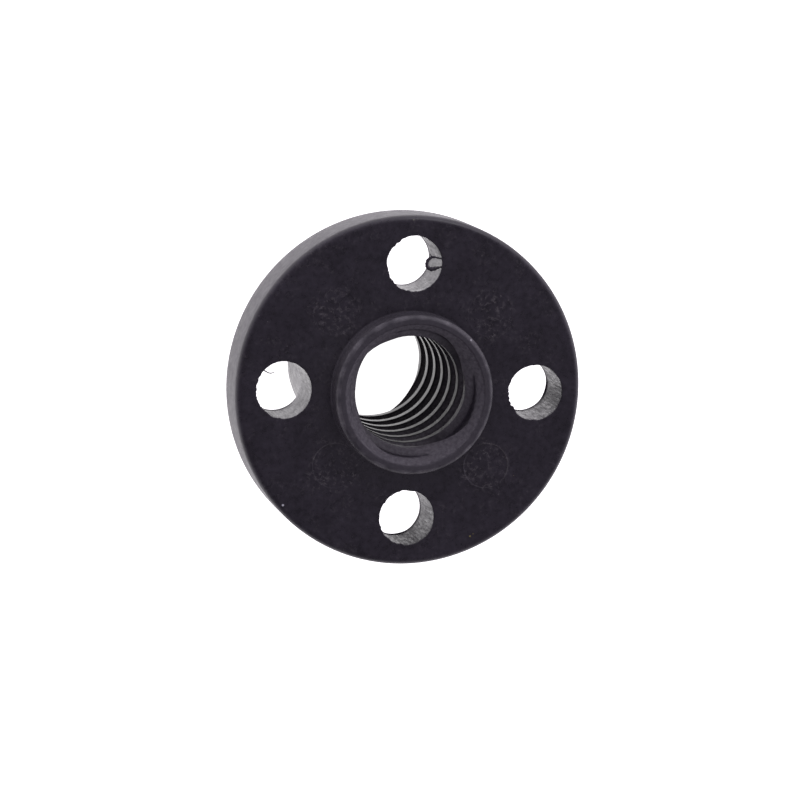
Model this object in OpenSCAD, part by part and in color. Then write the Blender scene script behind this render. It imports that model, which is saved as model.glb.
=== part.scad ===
// Flanged lead screw nut, moulded in one piece.
// The origin is on the bore axis, in the plane of the flange's mounting face.
// The hub hangs below that face along -Z and the short boss stands above the flange.

/* [Flange] */
// Outer diameter of the flange
flange_d = 22; // [20:0.5:30]
// Thickness of the flange
flange_t = 3.5; // [2:0.5:8]
// Radius of the moulded edge round the front of the flange's rim
flange_front_r = 0.3; // [0.1:0.05:0.6]
// Radius of the edge round the back of the flange's rim
flange_back_r = 0.15; // [0.05:0.05:0.4]

/* [Bolt holes] */
// Number of bolt holes round the flange
bolt_count = 4; // [3:1:6]
// Diameter of each bolt hole
bolt_d = 3.5; // [2.5:0.1:4.5]
// Diameter of the circle that the bolt holes sit on
bolt_circle_d = 16; // [15:0.5:17]
// Break on both edges of each bolt hole
bolt_edge_c = 0.1; // [0.05:0.05:0.2]

/* [Hub and boss] */
// Outer diameter of the long hub behind the flange
hub_d = 10.2; // [9.8:0.1:12]
// Length of the hub, from the mounting face to its end
hub_len = 10; // [6:1:25]
// Outer diameter of the short boss in front of the flange
boss_d = 10; // [9.8:0.1:12]
// Height of the boss above the flange
boss_h = 1.5; // [1:0.5:4]
// Radius of the moulded edge round the top of the boss
boss_edge_r = 0.3; // [0.1:0.05:0.4]
// Radius of the edge round the end of the hub
hub_edge_r = 0.2; // [0.1:0.05:0.3]

/* [Thread] */
// Bore diameter over the thread's crests
minor_d = 7; // [6.2:0.1:7.2]
// Diameter at the bottom of the thread's grooves
major_d = 8.1; // [7.6:0.1:8.7]
// Distance along the axis from one crest to the next
pitch = 2; // [1.5:0.5:3]
// Number of separate thread starts
starts = 4; // [1:1:4]
// Width of the flat crest, measured along the axis
crest_w = 0.85; // [0.4:0.05:1]
// Slope of each flank, in degrees from square to the axis
flank_a = 15; // [10:1:20]
// Turn of the first groove at the mounting face, in degrees
start_a = 70; // [0:2:90]

/* [Entry chamfers] */
// Diameter of the front chamfer where it meets the boss face
mouth_d = 8.9; // [8.7:0.1:9.2]
// Slope of the front chamfer, in degrees from the axis
mouth_a = 35; // [30:5:60]
// Diameter of the rear chamfer where it meets the end of the hub
tail_mouth_d = 8.2; // [7.8:0.1:9.4]
// Slope of the rear chamfer, in degrees from the axis
tail_a = 30; // [20:5:60]

/* [Hidden] */
$fn = 96;
z_top = flange_t + boss_h;
z_end = -hub_len;
lead = pitch * starts;
minor_r = minor_d / 2;
major_r = major_d / 2;
over = 0.4;
// Each groove is cut from inside the bore, so its section starts under the crests.
root_r = minor_r - over;
groove_w = pitch - crest_w;
// Half width of the groove's section at radius r
function half_w(r) = max(0.05, groove_w / 2 - (r - minor_r) * tan(flank_a));
// Groove section as [radius, axial offset], running round its four corners
groove_sec = [
    [root_r, -half_w(root_r)],
    [major_r, -half_w(major_r)],
    [major_r, half_w(major_r)],
    [root_r, half_w(root_r)]
];
steps_per_turn = 36;
z_lo = z_end - groove_w;
z_hi = z_top + groove_w;
steps = ceil((z_hi - z_lo) / lead * steps_per_turn);

// A disc from z0 to z1 whose outer edges are rounded, low edge by r_lo and high edge by r_hi.
// A radius of 0 leaves that edge where the disc runs into the next one.
module soft_disc(r, z0, z1, r_lo, r_hi) {
    rotate_extrude()
        union() {
            translate([0, z0 + r_lo]) square([r, z1 - z0 - r_lo - r_hi]);
            if (r_lo > 0) {
                translate([0, z0]) square([r - r_lo, r_lo * 2]);
                translate([r - r_lo, z0 + r_lo]) circle(r = r_lo, $fn = 32);
            }
            if (r_hi > 0) {
                translate([0, z1 - r_hi * 2]) square([r - r_hi, r_hi * 2]);
                translate([r - r_hi, z1 - r_hi]) circle(r = r_hi, $fn = 32);
            }
        }
}

// One helical groove: the section above carried up the axis, turning once for each lead.
module groove(a0) {
    pts = [
        for (i = [0 : steps])
            let (z = z_lo + (z_hi - z_lo) * i / steps, a = a0 + z * 360 / lead)
                for (s = groove_sec) [s[0] * cos(a), s[0] * sin(a), z + s[1]]
    ];
    sides = [
        for (i = [0 : steps - 1])
            for (j = [0 : 3])
                let (p = 4 * i + j, q = 4 * i + (j + 1) % 4)
                    each [[p, q, q + 4], [p, q + 4, p + 4]]
    ];
    n = 4 * steps;
    ends = [[0, 3, 2], [0, 2, 1], [n, n + 1, n + 2], [n, n + 2, n + 3]];
    polyhedron(points = pts, faces = concat(sides, ends), convexity = 8);
}

// A bolt hole with a small break at each end.
module bolt_hole() {
    r = bolt_d / 2;
    translate([0, 0, -1]) cylinder(r = r, h = flange_t + 2);
    translate([0, 0, -bolt_edge_c])
        cylinder(r1 = r + bolt_edge_c * 2, r2 = r, h = bolt_edge_c * 2);
    translate([0, 0, flange_t - bolt_edge_c])
        cylinder(r1 = r, r2 = r + bolt_edge_c * 2, h = bolt_edge_c * 2);
}

// A chamfer whose mouth of radius r lies at z = 0 and which narrows to radius r_in below it, at a degrees from the axis.
module chamfer_cone(r, r_in, a) {
    d = (r - r_in) / tan(a);
    translate([0, 0, -d]) cylinder(r1 = r_in, r2 = r, h = d);
    cylinder(r1 = r, r2 = r + 1 * tan(a), h = 1);
}

module lead_screw_nut() {
    color([0.15, 0.14, 0.16])
        difference() {
            union() {
                soft_disc(flange_d / 2, 0, flange_t, flange_back_r, flange_front_r);
                soft_disc(boss_d / 2, flange_t / 2, z_top, 0, boss_edge_r);
                soft_disc(hub_d / 2, z_end, flange_t / 2, hub_edge_r, 0);
            }
            translate([0, 0, z_end - 2]) cylinder(r = minor_r, h = z_top - z_end + 4);
            translate([0, 0, z_top]) chamfer_cone(mouth_d / 2, root_r, mouth_a);
            translate([0, 0, z_end]) mirror([0, 0, 1]) chamfer_cone(tail_mouth_d / 2, root_r, tail_a);
            for (i = [0 : bolt_count - 1])
                rotate([0, 0, i * 360 / bolt_count])
                    translate([bolt_circle_d / 2, 0, 0]) bolt_hole();
            for (i = [0 : starts - 1])
                groove(start_a + i * 360 / starts);
        }
}

lead_screw_nut();
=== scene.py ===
import math

import bpy
import numpy as np
from mathutils import Matrix, Vector
from mathutils.geometry import delaunay_2d_cdt


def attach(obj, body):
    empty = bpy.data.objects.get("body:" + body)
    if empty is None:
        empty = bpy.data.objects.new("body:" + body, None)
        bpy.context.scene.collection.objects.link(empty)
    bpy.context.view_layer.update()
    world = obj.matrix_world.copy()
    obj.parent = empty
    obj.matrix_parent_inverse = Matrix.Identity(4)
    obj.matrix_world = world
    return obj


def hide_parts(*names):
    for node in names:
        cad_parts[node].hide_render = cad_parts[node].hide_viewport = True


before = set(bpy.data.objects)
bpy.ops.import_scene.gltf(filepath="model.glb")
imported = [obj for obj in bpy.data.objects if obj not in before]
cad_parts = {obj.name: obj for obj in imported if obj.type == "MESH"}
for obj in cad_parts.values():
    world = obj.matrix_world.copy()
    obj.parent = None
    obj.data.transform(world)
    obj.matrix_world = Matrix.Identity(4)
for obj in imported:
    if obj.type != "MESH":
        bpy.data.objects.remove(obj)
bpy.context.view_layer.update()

# ---------------------------------------------------------------- sizes, in millimetres, as the CAD part has them
FL_R, FL_T = 11.0, 3.5            # flange
EDGE_F, EDGE_B = 0.40, 0.15       # its front and back edges
HOLE_R, HOLE_C = 1.75, 8.0        # bolt holes
BOSS_R, BOSS_TOP = 5.0, 5.0
BOSS_E = 0.30
HUB_R, HUB_END = 5.1, -10.0
HUB_E = 0.2
MINOR, MAJOR = 3.5, 4.0           # thread crest and root radius
PITCH, STARTS = 2.0, 4
LEAD = PITCH * STARTS
CREST_W = 0.65
FLANK = math.radians(15)
START_A = 70.0                    # a groove's centre crosses z = 0 at this angle
MOUTH, TAIL = 4.45, 4.10          # radii of the chamfers at the end faces
CONE_F = math.radians(35)
CONE_B = math.radians(30)

COLS = 208                        # columns round the boss, bore and hub
RIM_COLS = 360
HOLE_COLS = 120
TAU = 2 * math.pi
rng = np.random.default_rng(7)


# ---------------------------------------------------------------- small helpers
def smax(a, b, k):
    return 0.5 * (a + b + np.sqrt((a - b) ** 2 + k * k))


def value_noise(n, seed, smooth):
    """A smooth closed random curve of n values, about -1 to 1."""
    r = np.random.default_rng(seed)
    f = np.zeros(n)
    a = np.arange(n) / n * TAU
    for k in range(1, 40):
        f += math.exp(-((k / smooth) ** 2)) * (r.normal() * np.cos(k * a) + r.normal() * np.sin(k * a))
    return f / max(1e-9, np.abs(f).max())


class Build:
    """Vertices in millimetres and faces, gathered before one mesh is made."""

    def __init__(self):
        self.co, self.faces, self.n = [], [], 0
        self.colours = {"matte": {}, "scuff": {}, "mark": {}, "side": {}, "pale": {}, "worn": {}, "gloss": {}}

    def add(self, pts):
        pts = np.asarray(pts, float).reshape(-1, 3)
        ids = np.arange(self.n, self.n + len(pts))
        self.co.append(pts)
        self.n += len(pts)
        return ids

    def paint(self, ids, name, values):
        for i, v in zip(ids, np.broadcast_to(values, (len(ids),))):
            self.colours[name][int(i)] = float(v)

    def ring(self, r, z, n, c=(0.0, 0.0)):
        a = np.arange(n) / n * TAU
        r = np.broadcast_to(np.asarray(r, float), (n,))
        z = np.broadcast_to(np.asarray(z, float), (n,))
        return self.add(np.c_[c[0] + r * np.cos(a), c[1] + r * np.sin(a), z])

    def band(self, a, b):
        """Quads from loop a to loop b; the normal is on the right of the way from a to b."""
        n = len(a)
        for i in range(n):
            j = (i + 1) % n
            self.faces.append((a[i], a[j], b[j], b[i]))

    def bands(self, loops):
        for a, b in zip(loops[:-1], loops[1:]):
            self.band(a, b)

    def points(self):
        return np.concatenate(self.co)


def arc(r0, z0, rad, a0, a1, steps, inner=False):
    """Points of a rounded edge round the centre (r0, z0), angles in degrees from +r towards +z."""
    out = []
    for i in range(steps + 1):
        a = math.radians(a0 + (a1 - a0) * i / steps)
        out.append((r0 + rad * math.cos(a), z0 + rad * math.sin(a)))
    return out


# ---------------------------------------------------------------- flat faces with holes
def flat_face(b, z, up, outer, inner, holes, extra=(), spacing=0.17, dz=None):
    """Triangulates the face between an outer loop, an inner loop and hole loops. All loops are given as ids in b.
    extra is a list of (points, clear) for lines of points that keep the even grid away."""
    co = b.points()
    loops = [outer, inner] + list(holes)
    pts, ids, edges = [], [], []
    for lp in loops:
        base = len(pts)
        n = len(lp)
        for k, v in enumerate(lp):
            pts.append(co[v, :2])
            ids.append(int(v))
            edges.append((base + k, base + (k + 1) % n))
    fixed = len(pts)
    lines = [np.array([p for p in pts])]
    soft = []
    # support rings keep the shading flat right up to each rounded edge
    centre_r = [(0.0, 0.0, np.linalg.norm(co[outer[0], :2]), -1, len(outer)), (0.0, 0.0, np.linalg.norm(co[inner[0], :2]), 1, len(inner))]
    hole_c = []
    for k, lp in enumerate(holes):
        c = (HOLE_C * math.cos(k * math.pi / 2), HOLE_C * math.sin(k * math.pi / 2))
        rel = co[lp, :2] - np.array(c)
        hole_c.append((c[0], c[1], np.hypot(rel[:, 0], rel[:, 1])))
        centre_r.append((c[0], c[1], hole_c[-1][2], 1, len(lp)))
    for cx, cy, r, sgn, n in centre_r:
        for d in (0.05, 0.16):
            a = np.arange(n) / n * TAU
            rr = r + sgn * d
            soft.append(np.c_[cx + rr * np.cos(a), cy + rr * np.sin(a)])

    def hole_r(x, y, radii):
        n = len(radii)
        t = (np.arctan2(y, x) % TAU) / TAU * n
        return np.interp(t, np.arange(n + 1), np.append(radii, radii[0]))
    for e, _ in extra:
        soft.append(e)
    soft = np.concatenate(soft)
    r_out, r_in = centre_r[0][2], centre_r[1][2]

    def inside(p, pad):
        r = np.hypot(p[:, 0], p[:, 1])
        ok = (r < r_out - pad) & (r > r_in + pad)
        for cx, cy, rr in hole_c:
            x, y = p[:, 0] - cx, p[:, 1] - cy
            ok &= np.hypot(x, y) > hole_r(x, y, rr) + pad
        return ok

    soft = soft[inside(soft, 0.03)]
    h = spacing
    ny = int(2 * FL_R / (h * 0.866)) + 2
    nx = int(2 * FL_R / h) + 2
    gx, gy = np.meshgrid(np.arange(nx), np.arange(ny))
    grid = np.c_[(gx.ravel() - nx / 2 + 0.5 * (gy.ravel() % 2)) * h, (gy.ravel() - ny / 2) * h * 0.866]
    grid = grid + rng.uniform(-0.12, 0.12, grid.shape) * h
    grid = grid[inside(grid, 0.24)]
    # drop grid points close to the extra lines
    from mathutils.kdtree import KDTree
    if len(extra):
        e_all = np.concatenate([e for e, _ in extra])
        kd = KDTree(len(e_all))
        for i, p in enumerate(e_all):
            kd.insert((p[0], p[1], 0), i)
        kd.balance()
        keep = np.array([kd.find((p[0], p[1], 0))[2] > 0.09 for p in grid])
        grid = grid[keep]
    free = np.concatenate([soft, grid])
    allp = [Vector((float(p[0]), float(p[1]))) for p in pts] + [Vector((float(p[0]), float(p[1]))) for p in free]
    v2, e2, f2, ov, oe, of_ = delaunay_2d_cdt(allp, edges, [], 0, 1e-7)
    v2 = np.array([[p.x, p.y] for p in v2])
    z_new = np.full(len(v2), float(z))
    if dz is not None:
        z_new = z_new + dz(v2[:, 0], v2[:, 1])
    gid = np.full(len(v2), -1)
    new = []
    for i, src in enumerate(ov):
        s = [k for k in src if k < fixed]
        if s:
            gid[i] = ids[s[0]]
        else:
            new.append(i)
    new = np.array(new)
    made = b.add(np.c_[v2[new], z_new[new]])
    if dz is not None:
        b.paint(made, "mark", mark_scratches_and_ring_highlight(v2[new, 0], v2[new, 1]))
        r_new, a_new = np.hypot(v2[new, 0], v2[new, 1]), np.arctan2(v2[new, 1], v2[new, 0])
        # painted light: the front face is painted paler next to the boss towards the lower left, lifting the shade the
        # boss casts there
        b.paint(made, "pale", 0.24 * np.exp(-(r_new - BOSS_R) / 0.8) * np.clip(0.45 + np.cos(a_new - math.radians(205)), 0, 1))
    gid[new] = made
    tri = np.array([f for f in f2 if len(f) == 3])
    c = v2[tri].mean(1)
    r = np.hypot(c[:, 0], c[:, 1])
    ok = (r < r_out) & (r > r_in * math.cos(math.pi / len(inner)) * 0.9995)
    # a triangle whose corners all lie on one loop belongs to the opening
    loop_of = np.full(len(v2), -1)
    where = {}
    for k, lp in enumerate(loops):
        for v in lp:
            where[int(v)] = k
    for i in range(len(v2)):
        loop_of[i] = where.get(int(gid[i]), -1)
    lt = loop_of[tri]
    same = (lt[:, 0] >= 1) & (lt[:, 0] == lt[:, 1]) & (lt[:, 1] == lt[:, 2])
    ok &= ~same
    for cx, cy, rr in hole_c:
        x, y = c[:, 0] - cx, c[:, 1] - cy
        ok &= np.hypot(x, y) > hole_r(x, y, rr) * 0.97
    tri = tri[ok]
    a, bb, cc = v2[tri[:, 0]], v2[tri[:, 1]], v2[tri[:, 2]]
    area = (bb[:, 0] - a[:, 0]) * (cc[:, 1] - a[:, 1]) - (bb[:, 1] - a[:, 1]) * (cc[:, 0] - a[:, 0])
    tri[area < 0] = tri[area < 0][:, ::-1]
    if not up:
        tri = tri[:, ::-1]
    for t in tri:
        b.faces.append(tuple(int(x) for x in gid[t]))


# ---------------------------------------------------------------- the threaded bore
def thread_profile():
    """Half of one pitch, from the middle of a crest to the middle of a groove, as [axial, radius], corners rounded."""
    t = math.tan(FLANK)
    half = CREST_W / 2
    depth = MAJOR - MINOR
    root = half + depth * t
    pts = []
    # crest corner
    rho = 0.07
    k = math.tan((math.pi / 2 - FLANK) / 2) * rho   # tangent length at a corner that turns by 90 - flank
    ang = math.pi / 2 - FLANK
    d_fl = np.array([math.sin(FLANK), math.cos(FLANK)])
    c0 = np.array([half, MINOR])
    pa = c0 - np.array([k, 0])
    centre = pa + np.array([0, rho])
    flat = pa[0]
    pts += [(0.0, MINOR), (flat * 0.45, MINOR), (flat * 0.85, MINOR)]
    n = 3
    for i in range(n + 1):
        a = -math.pi / 2 + ang * i / n
        pts.append((centre[0] + rho * math.cos(a), centre[1] + rho * math.sin(a)))
    # flank
    rho2 = 0.09
    k2 = math.tan(ang / 2) * rho2
    c1 = np.array([root, MAJOR])
    start = np.array(pts[-1])
    stop = c1 - d_fl * k2
    for i in range(1, 4):
        pts.append(tuple(start + (stop - start) * i / 4))
    centre2 = np.array([root + k2, MAJOR - rho2])
    for i in range(n + 1):
        a = math.pi - FLANK - ang * i / n
        pts.append((centre2[0] + rho2 * math.cos(a), centre2[1] + rho2 * math.sin(a)))
    last = pts[-1][0]
    for i in range(1, 4):
        pts.append((last + (PITCH / 2 - last) * i / 3, MAJOR))
    return np.array(pts)


def bore(b, z_lo, z_hi, r_lo, r_hi):
    """The wall between a ring at z_lo and a ring at z_hi. Returns the ids of both rings."""
    half = thread_profile()
    whole = np.concatenate([half[:-1], np.c_[PITCH - half[::-1][:, 0], half[::-1][:, 1]][:-1]])
    R = len(whole)
    # s is the axial place once the turn is taken out; crest centres lie at s = s0 + k * PITCH
    s0 = -START_A / 360 * LEAD + PITCH / 2
    phi = np.arange(COLS) / COLS * TAU
    k_lo = int(math.floor((z_lo - LEAD - s0) / PITCH)) - 1
    k_hi = int(math.ceil((z_hi - s0) / PITCH)) + 1
    rows = [(k * R + i, s0 + k * PITCH + whole[i, 0], whole[i, 1]) for k in range(k_lo, k_hi) for i in range(R)]
    row_id = np.array([r[0] for r in rows])
    row_s = np.array([r[1] for r in rows])
    row_r = np.array([r[2] for r in rows])
    ring_lo = b.ring(r_lo, z_lo, COLS)
    ring_hi = b.ring(r_hi, z_hi, COLS)
    cols = []
    for j in range(COLS):
        z = row_s + LEAD * phi[j] / TAU
        m = (z > z_lo + 0.035) & (z < z_hi - 0.035)
        zz, rr, ii = z[m], row_r[m], row_id[m]
        front = MOUTH - (BOSS_TOP - zz) * math.tan(CONE_F)
        back = TAIL - (zz - HUB_END) * math.tan(CONE_B)
        entry = front
        rr = smax(rr, entry, 0.04)
        rr = smax(rr, back, 0.05)
        v = b.add(np.c_[rr * math.cos(phi[j]), rr * math.sin(phi[j]), zz])
        on_cone = np.clip(1.3 - (rr - entry) / 0.04, 0, 1) * np.clip((zz - 3.3) / 0.3, 0, 1)
        b.paint(v, "matte", on_cone)
        # the cone and the thread's first turn are rough cut and pale, with painted light making them paler on the
        # upper side; the grooves further in are smooth, and painted pale deep down as painted light that lifts their
        # shade
        upper_side_painted_light = 0.72 + 0.28 * math.sin(phi[j]) if math.sin(phi[j]) > 0 else 0.72
        first = np.clip((zz - 2.4) / 0.5, 0, 1) * np.clip((3.97 - rr) / 0.08, 0.02, 0.9)
        # painted light: the deep groove surfaces are painted pale to lift the shade in them
        deep = 1.0 * np.clip((2.8 - zz) / 0.8, 0, 1) * np.clip((rr - 3.52) / 0.1, 0, 1)
        b.paint(v, "pale", np.maximum(np.maximum(on_cone, first) * upper_side_painted_light, deep))
        b.paint(v, "gloss", np.clip((rr - 3.53) / 0.06, 0, 1) * np.clip((2.8 - zz) / 0.8, 0, 1))
        b.paint(v, "worn", np.clip((zz + 5.0) / 8.0, 0, 1))
        cols.append((np.concatenate([[-10**9], ii, [10**9]]), np.concatenate([[ring_lo[j]], v, [ring_hi[j]]])))
    shift = int(round(LEAD / PITCH)) * R
    for j in range(COLS):
        ia, va = cols[j]
        ib, vb = cols[(j + 1) % COLS]
        if j == COLS - 1:
            ib = ib.copy()
            ib[1:-1] = ib[1:-1] - shift
        p = q = 0
        while p < len(ia) - 1 or q < len(ib) - 1:
            na = ia[p + 1] if p < len(ia) - 1 else 10**10
            nb = ib[q + 1] if q < len(ib) - 1 else 10**10
            if na == nb:
                b.faces.append((va[p], va[p + 1], vb[q + 1], vb[q]))
                p += 1
                q += 1
            elif na < nb:
                b.faces.append((va[p], va[p + 1], vb[q]))
                p += 1
            else:
                b.faces.append((va[p], vb[q + 1], vb[q]))
                q += 1
    return ring_lo, ring_hi


# ---------------------------------------------------------------- ejector marks on the front face
MARKS = [(4.95, 4.9), (-4.9, 4.95), (-4.64, -4.66), (5.05, -4.71)]
MARK_R = 1.42


# per hole, starting at +X and going round: shift of the mouth, upward stretch, inward bumps as (angle, width, depth),
# runs of small scallops as (from, to, how many, depth), and the flash lip's width at the back edge
HOLES = [
    (0.08, -0.07, 0.0, ((186, 5, 0.05), (222, 6, 0.07), (205, 4, 0.03)), ((168, 232, 6, 0.035),), 0.065),
    (0.0, 0.0, 0.0, ((126, 4.5, 0.10), (139, 5, 0.08), (112, 4, 0.02)), ((186, 232, 6, 0.04), (250, 330, 7, 0.02)), 0.03),
    (0.0, 0.05, 0.09, ((174, 5, 0.04), (232, 6, 0.05)), ((172, 236, 8, 0.045),), 0.045),
    (0.08, 0.0, 0.03, ((232, 7, 0.05), (262, 6, 0.07), (248, 4, 0.03), (80, 10, 0.04)), ((236, 290, 5, 0.03), (40, 160, 4, 0.03)), 0.07),
]


def whisker(b, path, radii, squash=1.0, sides=8):
    """A thin closed thread of flash along a path, squashed along Z."""
    path = np.array(path, float)
    t_old = np.arange(len(path))
    t_new = np.linspace(0, len(path) - 1, (len(path) - 1) * 5 + 1)
    # Catmull-Rom through the points
    pp = np.vstack([2 * path[0] - path[1], path, 2 * path[-1] - path[-2]])
    pts = []
    for t in t_new:
        i = min(int(t), len(path) - 2)
        f = t - i
        p0, p1, p2, p3 = pp[i], pp[i + 1], pp[i + 2], pp[i + 3]
        pts.append(0.5 * ((2 * p1) + (p2 - p0) * f + (2 * p0 - 5 * p1 + 4 * p2 - p3) * f * f + (3 * p1 - p0 - 3 * p2 + p3) * f ** 3))
    pts = np.array(pts)
    rad = np.interp(t_new, t_old, radii)
    rad = rad * (1 + 0.12 * np.sin(t_new * 7.3 + 1))
    rings = []
    for i, p in enumerate(pts):
        d = pts[min(i + 1, len(pts) - 1)] - pts[max(i - 1, 0)]
        d /= np.linalg.norm(d)
        side = np.cross(d, (0, 0, 1.0))
        side /= np.linalg.norm(side)
        up = np.cross(side, d)
        a = np.arange(sides) / sides * TAU
        rings.append(b.add(p + rad[i] * (np.cos(a)[:, None] * side + squash * np.sin(a)[:, None] * up)))
    for r0, r1 in zip(rings[:-1], rings[1:]):
        for i in range(sides):
            j = (i + 1) % sides
            b.faces.append((r0[i], r0[j], r1[j], r1[i]))
    b.faces.append(tuple(rings[0][::-1]))
    b.faces.append(tuple(rings[-1]))


# where each mark's ring gets a painted highlight, as the middle and half width of an arc in degrees, and how strongly
ARCS = [(20, 150, 0.35), (150, 60, 0.25), (112, 75, 0.8), (35, 85, 1.0)]


def mark_scratches_and_ring_highlight(x, y):
    """How the front face is painted round the ejector marks: a painted highlight along arcs of their rings, and a haze
    of fine scratches inside.
    """
    t = np.zeros_like(x)
    for (cx, cy), (mid, half, strong) in zip(MARKS, ARCS):
        d = np.hypot(x - cx, y - cy)
        a = np.degrees(np.arctan2(y - cy, x - cx))
        off = np.abs((a - mid + 180) % 360 - 180)
        arc_w = np.clip((half - off) / 25, 0, 1)
        t = np.maximum(t, strong * arc_w * np.exp(-(((d - MARK_R - 0.01) / 0.035) ** 2)))
        t = np.maximum(t, 0.22 * np.clip((MARK_R + 0.5 - d) / 0.6, 0, 1))
    return t


def front_dz(x, y):
    z = np.zeros_like(x)
    for (cx, cy), deep, ring in zip(MARKS, (0.010, 0.008, 0.014, 0.018), (0.008, 0.006, 0.018, 0.022)):
        d = np.hypot(x - cx, y - cy)
        z -= deep * 0.5 * (1 - np.tanh((d - MARK_R) / 0.03))
        z += ring * np.exp(-(((d - MARK_R - 0.02) / 0.035) ** 2))
    # very slight waviness left by shrinkage
    z += 0.004 * np.sin(x * 0.9 + 1.3) * np.sin(y * 0.8 - 0.4)
    r = np.hypot(x, y)
    fade = np.clip((r - 5.3) / 0.4, 0, 1) * np.clip((10.6 - r) / 0.4, 0, 1)
    for k in range(4):
        a = k * math.pi / 2
        fade *= np.clip((np.hypot(x - HOLE_C * math.cos(a), y - HOLE_C * math.sin(a)) - 1.95) / 0.3, 0, 1)
    return z * fade


def build_nut():
    b = Build()
    # rim of the flange, from its back edge up to its front edge
    prof = arc(FL_R - EDGE_B, EDGE_B, EDGE_B, -90, 0, 5)
    z0, z1 = EDGE_B, FL_T - EDGE_F
    for i in range(1, 4):
        prof.append((FL_R, z0 + (z1 - z0) * i / 4))
    prof += arc(FL_R - EDGE_F, FL_T - EDGE_F, EDGE_F, 0, 90, 8)
    rim = [b.ring(r, z, RIM_COLS) for r, z in prof]
    b.bands(rim)
    for lp in rim[4:-4]:
        b.paint(lp, "side", 1.0)
    back_outer, front_outer = rim[0], rim[-1]
    # boss, from its foot up over its edge to the mouth of the cone
    foot = 0.05
    prof = arc(BOSS_R + foot, FL_T + foot, foot, -90, -180, 4)
    zt = BOSS_TOP - BOSS_E
    for i in range(1, 6):
        prof.append((BOSS_R, FL_T + foot + (zt - FL_T - foot) * i / 6))
    prof += arc(BOSS_R - BOSS_E, zt, BOSS_E, 0, 90, 8)
    rho = 0.06
    t = rho * math.tan((math.pi / 2 - CONE_F) / 2)
    r_flat = MOUTH + t
    prof += [(BOSS_R - BOSS_E - 0.03, BOSS_TOP), (r_flat + 0.03, BOSS_TOP)]
    n = 4
    for i in range(n + 1):
        a = math.pi / 2 + (math.pi / 2 - CONE_F) * i / n
        prof.append((r_flat + rho * math.cos(a), BOSS_TOP - rho + rho * math.sin(a)))
    # the edge and the ring on top are not turned but moulded, and slightly ragged
    edge_n, ring_n = value_noise(COLS, 51, 40), value_noise(COLS, 52, 30)
    boss = []
    for r, z in prof:
        on_edge = math.exp(-(((z - BOSS_TOP + 0.05) / 0.12) ** 2)) * (1.0 if 4.72 < r < 4.995 else 0.0)
        on_mouth = 1.0 if z > BOSS_TOP - 0.07 and r < 4.56 else 0.0
        boss.append(b.ring(r - 0.016 * on_edge * (1 + edge_n) - 0.022 * on_mouth * (ring_n if z > BOSS_TOP - 0.055 else 0), z, COLS))
    b.bands(boss)
    # the wall and the rounded edge are fairly smooth away from the light, and rougher and a little paler on the side
    # towards it (lit), a painted sheen; the ring on top and the cone are rough
    turn = np.arange(COLS) / COLS * TAU
    lit = 0.25 + 0.75 * np.clip(np.cos(turn - math.radians(95)) * 1.3, 0, 1)
    # painted light: the wall is painted paler towards the lower left, lifting the shade there
    low_left_painted_light = 0.25 * np.clip(np.cos(turn - math.radians(195)) * 2.0, 0, 1)
    for lp, (r, z) in zip(boss, prof):
        if z < BOSS_TOP - 0.001 and r > 4.8:
            b.paint(lp, "matte", lit if z < BOSS_TOP - 0.22 else 0.2 + 0.3 * lit)
            b.paint(lp, "pale", low_left_painted_light)
        else:
            b.paint(lp, "matte", 1.0)
            b.paint(lp, "pale", 0.17)
        # painted highlight: the rounded edge is painted pale, broken up with noise
        if z > BOSS_TOP - BOSS_E * 0.75 and BOSS_R - BOSS_E * 0.9 < r < BOSS_R - 0.02:
            b.paint(lp, "pale", np.clip(0.32 + 0.45 * value_noise(COLS, 41, 60), 0.03, 1))
    r_hi, z_hi = prof[-1]
    # hub, from the cone's mouth at its end up to its foot
    t2 = rho * math.tan((math.pi / 2 - CONE_B) / 2)
    r_flat2 = TAIL + t2
    prof2 = []
    for i in range(n + 1):
        a = -math.pi / 2 - (math.pi / 2 - CONE_B) * (n - i) / n
        prof2.append((r_flat2 + rho * math.cos(a), HUB_END + rho + rho * math.sin(a)))
    prof2 += [(r_flat2 + 0.03, HUB_END), (HUB_R - HUB_E - 0.03, HUB_END)]
    prof2 += arc(HUB_R - HUB_E, HUB_END + HUB_E, HUB_E, -90, 0, 8)
    zb, ze = HUB_END + HUB_E, -0.15
    for i in range(1, 10):
        prof2.append((HUB_R, zb + (ze - zb) * i / 10))
    prof2 += arc(HUB_R + 0.15, -0.15, 0.15, 180, 90, 4)
    hub = [b.ring(r, z, COLS) for r, z in prof2]
    b.bands(hub)
    r_lo, z_lo = prof2[0]
    lo, hi = bore(b, z_lo, z_hi, r_lo, r_hi)
    weld = {int(x): int(y) for x, y in zip(lo, hub[0])}
    weld.update({int(x): int(y) for x, y in zip(hi, boss[-1])})
    # bolt holes
    holes_front, holes_back = [], []
    ang = np.arange(HOLE_COLS) / HOLE_COLS * TAU
    deg = np.degrees(ang)
    for k in range(4):
        a = k * math.pi / 2
        c = (HOLE_C * math.cos(a), HOLE_C * math.sin(a))
        sx, sy, up, bumps, waves, lip_w = HOLES[k]
        # off-centre shift and ovality first, as the angle sees them
        shape = sx * np.cos(ang) + sy * np.sin(ang) + up * np.clip(np.sin(ang), 0, 1) ** 2
        ragged = 0.012 * value_noise(HOLE_COLS, 100 + k, 14)
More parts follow.
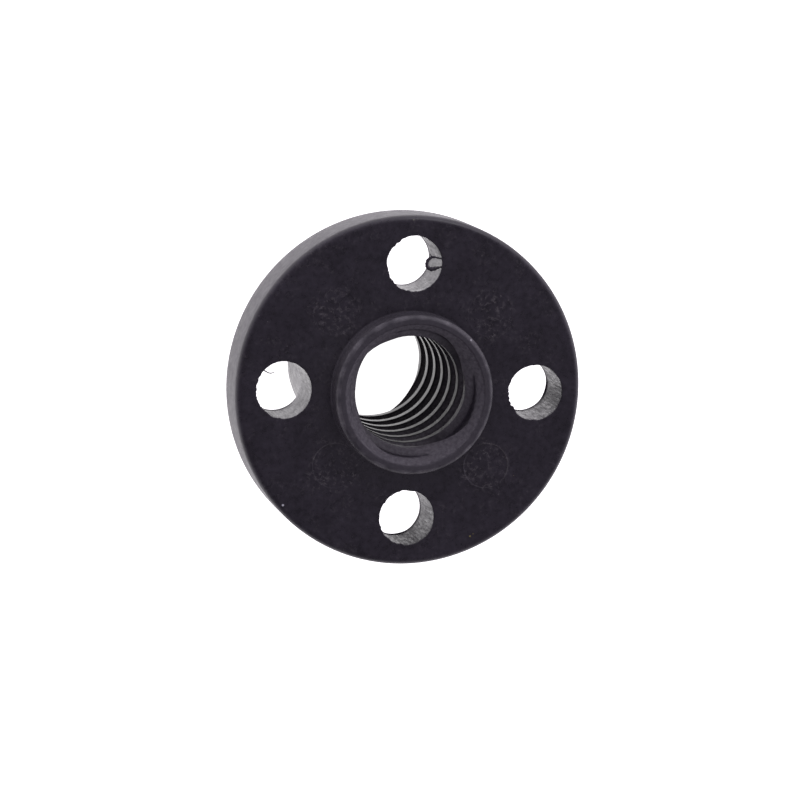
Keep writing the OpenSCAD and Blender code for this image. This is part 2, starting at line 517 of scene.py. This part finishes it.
        # small teeth, most of them round the left side
        teeth = np.maximum(value_noise(HOLE_COLS, 150 + k, 40), 0)
        ragged -= 0.075 * teeth * (0.25 + 0.75 * np.clip(0.5 - 0.9 * np.cos(ang - 0.35), 0, 1))
        for at, wide, deep in bumps:
            d = (deg - at + 180) % 360 - 180
            ragged -= deep * np.exp(-((d / wide) ** 2))
        for lo, hi, n_w, deep in waves:
            t = ((deg - lo) % 360) / ((hi - lo) % 360)
            ragged -= np.where(t < 1, deep * np.abs(np.sin(math.pi * n_w * t)) * np.clip(np.minimum(t, 1 - t) * 6, 0, 1), 0)
        lip = lip_w * (0.75 + 0.25 * value_noise(HOLE_COLS, 200 + k, 9)) * (0.35 + 0.65 * np.clip(0.5 - np.sin(ang - 0.3), 0, 1))
        if k == 2:
            lip = lip * np.clip((np.cos(ang - math.radians(262)) - 0.45) * 3, 0, 1)
        wall = [0.006 * value_noise(HOLE_COLS, 300 + 20 * k + i, 22) for i in range(16)]
        e = 0.05
        rings = []
        for u in (0, 30, 60, 90):
            uu = math.radians(u)
            rings.append(b.ring(HOLE_R + shape + ragged + e - e * math.sin(uu), FL_T - e + e * math.cos(uu), HOLE_COLS, c))
        for i in range(1, 14):
            z = FL_T - e + (0.16 + e - FL_T) * i / 14
            keep = math.exp(-(FL_T - z) / 0.22)
            rings.append(b.ring(HOLE_R + shape * (0.35 + 0.65 * z / FL_T) + ragged * keep + wall[i], z, HOLE_COLS, c))
        low = shape * 0.35
        rings.append(b.ring(HOLE_R + low, 0.12, HOLE_COLS, c))
        rings.append(b.ring(HOLE_R + low - lip * 0.9, 0.085, HOLE_COLS, c))
        rings.append(b.ring(HOLE_R + low - lip, 0.05, HOLE_COLS, c))
        rings.append(b.ring(HOLE_R + low - lip * 0.6, 0.0, HOLE_COLS, c))
        b.bands(rings)
        for lp in rings[2:-3]:
            b.paint(lp, "scuff", 1.0 if k in (0, 3) else 0.45)
        holes_front.append(rings[0])
        holes_back.append(rings[-1])
    extra = []
    for cx, cy in MARKS:
        for d, m in ((-0.10, 72), (-0.05, 90), (-0.02, 90), (0.02, 90), (0.06, 90), (0.11, 72)):
            aa = np.arange(m) / m * TAU
            extra.append((np.c_[cx + (MARK_R + d) * np.cos(aa), cy + (MARK_R + d) * np.sin(aa)], 0.1))
    flat_face(b, FL_T, True, front_outer, boss[0], holes_front, extra, 0.17, front_dz)
    flat_face(b, 0.0, False, back_outer, hub[-1], holes_back, (), 0.3)
    # flash left in the bolt holes: an open loop with a spur in the top one, a hair in the left one
    zl = 3.34
    whisker(b, [(1.80, 8.30, zl), (1.50, 8.36, zl), (1.20, 8.41, zl), (0.92, 8.27, zl), (0.82, 8.08, zl), (0.81, 7.88, zl), (0.90, 7.74, zl),
                (1.12, 7.66, zl), (1.38, 7.71, zl), (1.62, 7.78, zl), (1.82, 7.80, zl)],
            [0.05, 0.055, 0.075, 0.10, 0.10, 0.10, 0.11, 0.14, 0.12, 0.06, 0.05], 0.5)
    whisker(b, [(1.13, 8.40, zl), (1.06, 8.50, zl + 0.02), (1.0, 8.64, zl + 0.04)], [0.05, 0.04, 0.015], 0.7)
    whisker(b, [(-9.36, 1.36, 3.3), (-9.10, 1.22, 3.28), (-8.91, 1.13, 3.25), (-8.72, 1.13, 3.22), (-8.53, 1.20, 3.2)], [0.045, 0.036, 0.034, 0.030, 0.016], 0.8, 6)
    co = b.points() * 0.001
    faces = []
    for f in b.faces:
        g = [weld.get(int(v), int(v)) for v in f]
        if len(set(g)) == len(g):
            faces.append(g)
    used = np.unique(np.concatenate([np.array(f) for f in faces]))
    remap = np.full(len(co), -1)
    remap[used] = np.arange(len(used))
    mesh = bpy.data.meshes.new("nut")
    mesh.from_pydata([tuple(p) for p in co[used]], [], [[int(remap[v]) for v in f] for f in faces])
    mesh.validate()
    mesh.update()
    mesh.polygons.foreach_set("use_smooth", np.ones(len(mesh.polygons), bool))
    for name, marks in b.colours.items():
        values = np.zeros(len(used), np.float32)
        for i, v in marks.items():
            j = remap[weld.get(i, i)]
            if j >= 0:
                values[j] = max(values[j], v)
        layer = mesh.attributes.new(name, "FLOAT", "POINT")
        layer.data.foreach_set("value", values)
    ob = bpy.data.objects.new("nut_moulding", mesh)
    bpy.context.scene.collection.objects.link(ob)
    return ob


# ---------------------------------------------------------------- materials
class Nodes:
    """Short hand for building a node tree."""

    def __init__(self, tree):
        self.tree = tree
        tree.nodes.clear()

    def new(self, kind, **settings):
        nd = self.tree.nodes.new(kind)
        for k, v in settings.items():
            setattr(nd, k, v)
        return nd

    def set(self, node, **inputs):
        for k, v in inputs.items():
            node.inputs[k.replace("_", " ")].default_value = v
        return node

    def link(self, a, b):
        self.tree.links.new(a, b)

    def math(self, op, a, b=None, clamp=False):
        nd = self.new("ShaderNodeMath", operation=op, use_clamp=clamp)
        for i, v in enumerate((a, b)):
            if v is None:
                continue
            if isinstance(v, (int, float)):
                nd.inputs[i].default_value = v
            else:
                self.link(v, nd.inputs[i])
        return nd.outputs[0]

    def noise(self, vec, scale, detail=3.0, rough=0.5):
        nd = self.set(self.new("ShaderNodeTexNoise"), Scale=scale, Detail=detail, Roughness=rough)
        self.link(vec, nd.inputs["Vector"])
        return nd.outputs["Fac"]

    def span(self, value, a, b, c, d):
        nd = self.new("ShaderNodeMapRange")
        for k, v in zip(("From Min", "From Max", "To Min", "To Max"), (a, b, c, d)):
            nd.inputs[k].default_value = v
        self.link(value, nd.inputs["Value"])
        return nd.outputs["Result"]

    def attr(self, name):
        return self.new("ShaderNodeAttribute", attribute_name=name).outputs["Fac"]

    def mix(self, fac, a, b):
        nd = self.new("ShaderNodeMix", data_type="RGBA")
        if isinstance(fac, (int, float)):
            nd.inputs[0].default_value = fac
        else:
            self.link(fac, nd.inputs[0])
        for sock, v in ((nd.inputs[6], a), (nd.inputs[7], b)):
            if isinstance(v, tuple):
                sock.default_value = v
            else:
                self.link(v, sock)
        return nd.outputs[2]


# grains of dirt that sit in plain sight, and one painted glint: place, radius, colour
SPECKS = [
    ((-7.84, -7.12, 3.48), 0.075, (0.55, 0.56, 0.58, 1)),
    ((4.22, -9.21, 3.5), 0.060, (0.21, 0.18, 0.06, 1)),
    ((4.42, -9.06, 3.5), 0.035, (0.16, 0.13, 0.06, 1)),
    ((-0.16, 10.74, 3.49), 0.055, (0.11, 0.11, 0.08, 1)),
    # painted highlight: a pale spot on the boss edge towards the light, standing in for a glint
    ((3.42, 3.46, 4.95), 0.07, (0.34, 0.33, 0.35, 1)),
    ((0.12, -4.18, 4.62), 0.07, (0.10, 0.095, 0.105, 1)),
    ((-9.15, 4.35, 3.5), 0.03, (0.12, 0.11, 0.12, 1)),
    ((6.9, -5.35, 3.5), 0.03, (0.13, 0.11, 0.07, 1)),
]


def acetal():
    m = bpy.data.materials.new("black_acetal")
    m.use_nodes = True
    g = Nodes(m.node_tree)
    out = g.new("ShaderNodeOutputMaterial")
    p = g.new("ShaderNodeBsdfPrincipled")
    g.link(p.outputs["BSDF"], out.inputs["Surface"])
    p.inputs["IOR"].default_value = 1.48
    p.inputs["Specular IOR Level"].default_value = 0.5
    tc = g.new("ShaderNodeTexCoord")
    mm = g.new("ShaderNodeVectorMath", operation="SCALE")
    mm.inputs["Scale"].default_value = 1000.0
    g.link(tc.outputs["Object"], mm.inputs[0])
    pos = mm.outputs[0]
    broad = g.noise(pos, 0.55, 4.0, 0.6)
    mottle = g.noise(pos, 2.6, 3.0, 0.6)
    grain = g.noise(pos, 14.0, 3.0, 0.55)
    matte, scuff, pale, worn = g.attr("matte"), g.attr("scuff"), g.attr("pale"), g.attr("worn")
    # a stretched noise gives the lengthwise drag marks inside the bolt holes
    drag = g.new("ShaderNodeMapping")
    drag.inputs["Scale"].default_value = (7.0, 7.0, 1.1)
    g.link(pos, drag.inputs["Vector"])
    streak = g.noise(drag.outputs["Vector"], 1.0, 5.0, 0.7)
    tone = g.math("ADD", g.span(broad, 0.35, 0.65, 0.0, 0.5), g.span(mottle, 0.36, 0.66, 0.0, 0.5))
    base = g.mix(tone, (0.0105, 0.0080, 0.0130, 1), (0.0310, 0.0262, 0.0360, 1))
    # matte also tints the colour a little paler: the rough finish of the ring on top and the cone, and a painted sheen
    # on the boss wall's side towards the light
    base = g.mix(g.math("MULTIPLY", matte, g.span(mottle, 0.3, 0.7, 0.5, 1.0)), base, (0.030, 0.0262, 0.0335, 1))
    # pale: a rough cut finish on the cone, the ring on top and the first thread turn, and painted light by the boss,
    # on its edge, on the upper cone and in the deep grooves
    patchy = g.noise(pos, 4.5, 3.0, 0.6)
    base = g.mix(g.math("MULTIPLY", pale, g.span(patchy, 0.36, 0.64, 0.55, 1.1), clamp=True), base, (0.142, 0.134, 0.144, 1))
    # fine squiggly scratches and fibres: thin level lines of a warped noise, kept to patches
    mark, sides = g.attr("mark"), g.attr("side")
    warp = g.set(g.new("ShaderNodeTexNoise"), Scale=1.9, Detail=3.0, Roughness=0.6, Distortion=1.4)
    g.link(pos, warp.inputs["Vector"])
    line = g.math("SUBTRACT", 1.0, g.math("MULTIPLY", g.math("ABSOLUTE", g.math("SUBTRACT", warp.outputs["Fac"], 0.5)), 24.0), clamp=True)
    warp2 = g.set(g.new("ShaderNodeTexNoise"), Scale=1.15, Detail=2.0, Roughness=0.5, Distortion=2.3)
    g.link(pos, warp2.inputs["Vector"])
    line2 = g.math("SUBTRACT", 1.0, g.math("MULTIPLY", g.math("ABSOLUTE", g.math("SUBTRACT", warp2.outputs["Fac"], 0.56)), 26.0), clamp=True)
    patch = g.span(g.noise(pos, 0.75, 2.0, 0.5), 0.48, 0.62, 0.0, 1.0)
    where = g.math("ADD", g.math("MULTIPLY", patch, 0.4), g.math("MULTIPLY", mark, 3.0), clamp=True)
    scratches_and_ring_highlight = g.math("MULTIPLY", g.math("MAXIMUM", line, line2), g.math("MULTIPLY", where, g.span(g.noise(pos, 3.4, 2.0, 0.5), 0.47, 0.60, 0.0, 1.0)), clamp=True)
    # painted highlight: the lit arcs of the ejector mark rings are painted pale and added to the scratches
    ring_highlight = g.math("MULTIPLY", g.math("SUBTRACT", mark, 0.24, clamp=True), g.span(grain, 0.35, 0.6, 0.35, 1.1))
    scratches_and_ring_highlight = g.math("ADD", g.math("MULTIPLY", scratches_and_ring_highlight, 0.75), ring_highlight, clamp=True)
    base = g.mix(scratches_and_ring_highlight, base, (0.125, 0.115, 0.118, 1))
    rough = g.math("ADD", 0.29, g.span(mottle, 0.3, 0.7, -0.05, 0.09))
    rough = g.math("ADD", rough, g.math("MULTIPLY", matte, 0.40))
    rough = g.math("ADD", rough, g.math("MULTIPLY", sides, 0.16))
    rough = g.math("ADD", rough, g.math("MULTIPLY", worn, 0.22))
    rough = g.math("MULTIPLY", rough, g.math("SUBTRACT", 1.0, g.math("MULTIPLY", g.attr("gloss"), 0.62)))
    rough = g.math("ADD", rough, g.math("MULTIPLY", scratches_and_ring_highlight, 0.15))
    rough = g.math("ADD", rough, g.math("MULTIPLY", scuff, g.span(streak, 0.35, 0.65, -0.05, 0.28)))
    g.link(rough, p.inputs["Roughness"])
    # specks of dust: the cores of sparse cells
    cell = g.set(g.new("ShaderNodeTexVoronoi", feature="F1"), Scale=1.15, Randomness=1.0)
    g.link(pos, cell.inputs["Vector"])
    few = g.new("ShaderNodeSeparateColor")
    g.link(cell.outputs["Color"], few.inputs[0])
    dust = g.math("MULTIPLY", g.math("LESS_THAN", cell.outputs["Distance"], 0.05), g.math("GREATER_THAN", few.outputs[0], 0.80))
    base = g.mix(g.math("MULTIPLY", dust, 0.5), base, (0.11, 0.10, 0.105, 1))
    for spot, radius, colour in SPECKS:
        far = g.new("ShaderNodeVectorMath", operation="DISTANCE")
        g.link(pos, far.inputs[0])
        far.inputs[1].default_value = spot
        base = g.mix(g.math("LESS_THAN", far.outputs["Value"], radius), base, colour)
    g.link(base, p.inputs["Base Color"])
    height = g.math("ADD", g.math("MULTIPLY", grain, 0.25), g.math("MULTIPLY", mottle, 0.8))
    height = g.math("ADD", height, g.math("MULTIPLY", matte, g.math("MULTIPLY", grain, 1.2)))
    height = g.math("ADD", height, g.math("MULTIPLY", scuff, g.math("MULTIPLY", streak, 2.2)))
    bump = g.set(g.new("ShaderNodeBump"), Strength=0.35, Distance=0.00002)
    g.link(height, bump.inputs["Height"])
    g.link(bump.outputs["Normal"], p.inputs["Normal"])
    return m


def floor_and_light():
    me = bpy.data.meshes.new("floor")
    s, z = 3.0, HUB_END * 0.001 - 0.00002    # a hair under the hub, so that no faces coincide
    me.from_pydata([(-s, -s, z), (s, -s, z), (s, s, z), (-s, s, z)], [], [(0, 1, 2, 3)])
    fl = bpy.data.objects.new("floor", me)
    bpy.context.scene.collection.objects.link(fl)
    m = bpy.data.materials.new("pale_floor")
    m.use_nodes = True
    p = m.node_tree.nodes["Principled BSDF"]
    p.inputs["Base Color"].default_value = (0.82, 0.80, 0.81, 1)
    p.inputs["Roughness"].default_value = 0.9
    p.inputs["Specular IOR Level"].default_value = 0.0
    p.inputs["Emission Color"].default_value = (1, 0.985, 0.99, 1)
    p.inputs["Emission Strength"].default_value = 1.25
    me.materials.append(m)
    # a light tent: bright low down, brightest towards the upper right, dim overhead
    w = bpy.data.worlds.new("studio")
    bpy.context.scene.world = w
    w.use_nodes = True
    g = Nodes(w.node_tree)
    out = g.new("ShaderNodeOutputWorld")
    bg = g.new("ShaderNodeBackground")
    g.link(bg.outputs[0], out.inputs[0])
    tc = g.new("ShaderNodeTexCoord")
    sep = g.new("ShaderNodeSeparateXYZ")
    g.link(tc.outputs["Generated"], sep.inputs[0])
    az = math.radians(62)
    side = g.math("ADD", g.math("MULTIPLY", sep.outputs["X"], math.cos(az)), g.math("MULTIPLY", sep.outputs["Y"], math.sin(az)))
    ramp = g.new("ShaderNodeValToRGB")
    e = ramp.color_ramp.elements
    e[0].position, e[0].color = 0.0, (1.0, 1.0, 1.0, 1)
    e[1].position, e[1].color = 1.0, (0.25, 0.25, 0.25, 1)
    for at, v in ((0.30, 0.92), (0.60, 0.50), (0.85, 0.28)):
        ramp.color_ramp.elements.new(at).color = (v, v, v, 1)
    g.link(sep.outputs["Z"], ramp.inputs["Fac"])
    level = g.math("MULTIPLY", ramp.outputs["Color"], g.math("ADD", 1.0, g.math("MULTIPLY", side, 0.64)))
    tint = g.new("ShaderNodeCombineColor")
    for k, f in enumerate((1.0, 0.93, 1.10)):
        g.link(g.math("MULTIPLY", level, f), tint.inputs[k])
    g.link(tint.outputs[0], bg.inputs["Color"])
    bg.inputs["Strength"].default_value = 1.0
    lamp = bpy.data.lights.new("soft_box", "AREA")
    lamp.shape, lamp.size = "DISK", 0.35
    lamp.energy = 0.5
    lo = bpy.data.objects.new("soft_box", lamp)
    bpy.context.scene.collection.objects.link(lo)
    el = math.radians(32)
    where = Vector((math.cos(az) * math.cos(el), math.sin(az) * math.cos(el), math.sin(el))) * 0.7
    lo.location = where
    lo.rotation_euler = (-where).to_track_quat("-Z", "Y").to_euler()


def camera():
    cam = bpy.data.cameras.new("camera")
    ob = bpy.data.objects.new("camera", cam)
    bpy.context.scene.collection.objects.link(ob)
    right = Vector((0.9729, 0.0357, 0.2285))
    fwd = Vector((0.2312, -0.1560, -0.9603))
    right = (right - fwd * right.dot(fwd) / fwd.length_squared).normalized()
    fwd.normalize()
    up = right.cross(fwd)
    rot = Matrix((right, up, -fwd)).transposed()
    ob.matrix_world = Matrix.Translation(Vector((-48.87, 32.03, 203.9)) * 0.001) @ rot.to_4x4()
    cam.sensor_width = 36.0
    cam.lens = 3357 / 800 * 36
    cam.clip_start, cam.clip_end = 0.01, 20.0
    bpy.context.scene.camera = ob


nut = build_nut()
nut.data.materials.append(acetal())
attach(nut, "root")
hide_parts("lead_screw_nut")
floor_and_light()
camera()
bpy.context.scene.view_settings.view_transform = "Standard"

print("TRIS", sum(len(p.vertices) - 2 for p in nut.data.polygons))
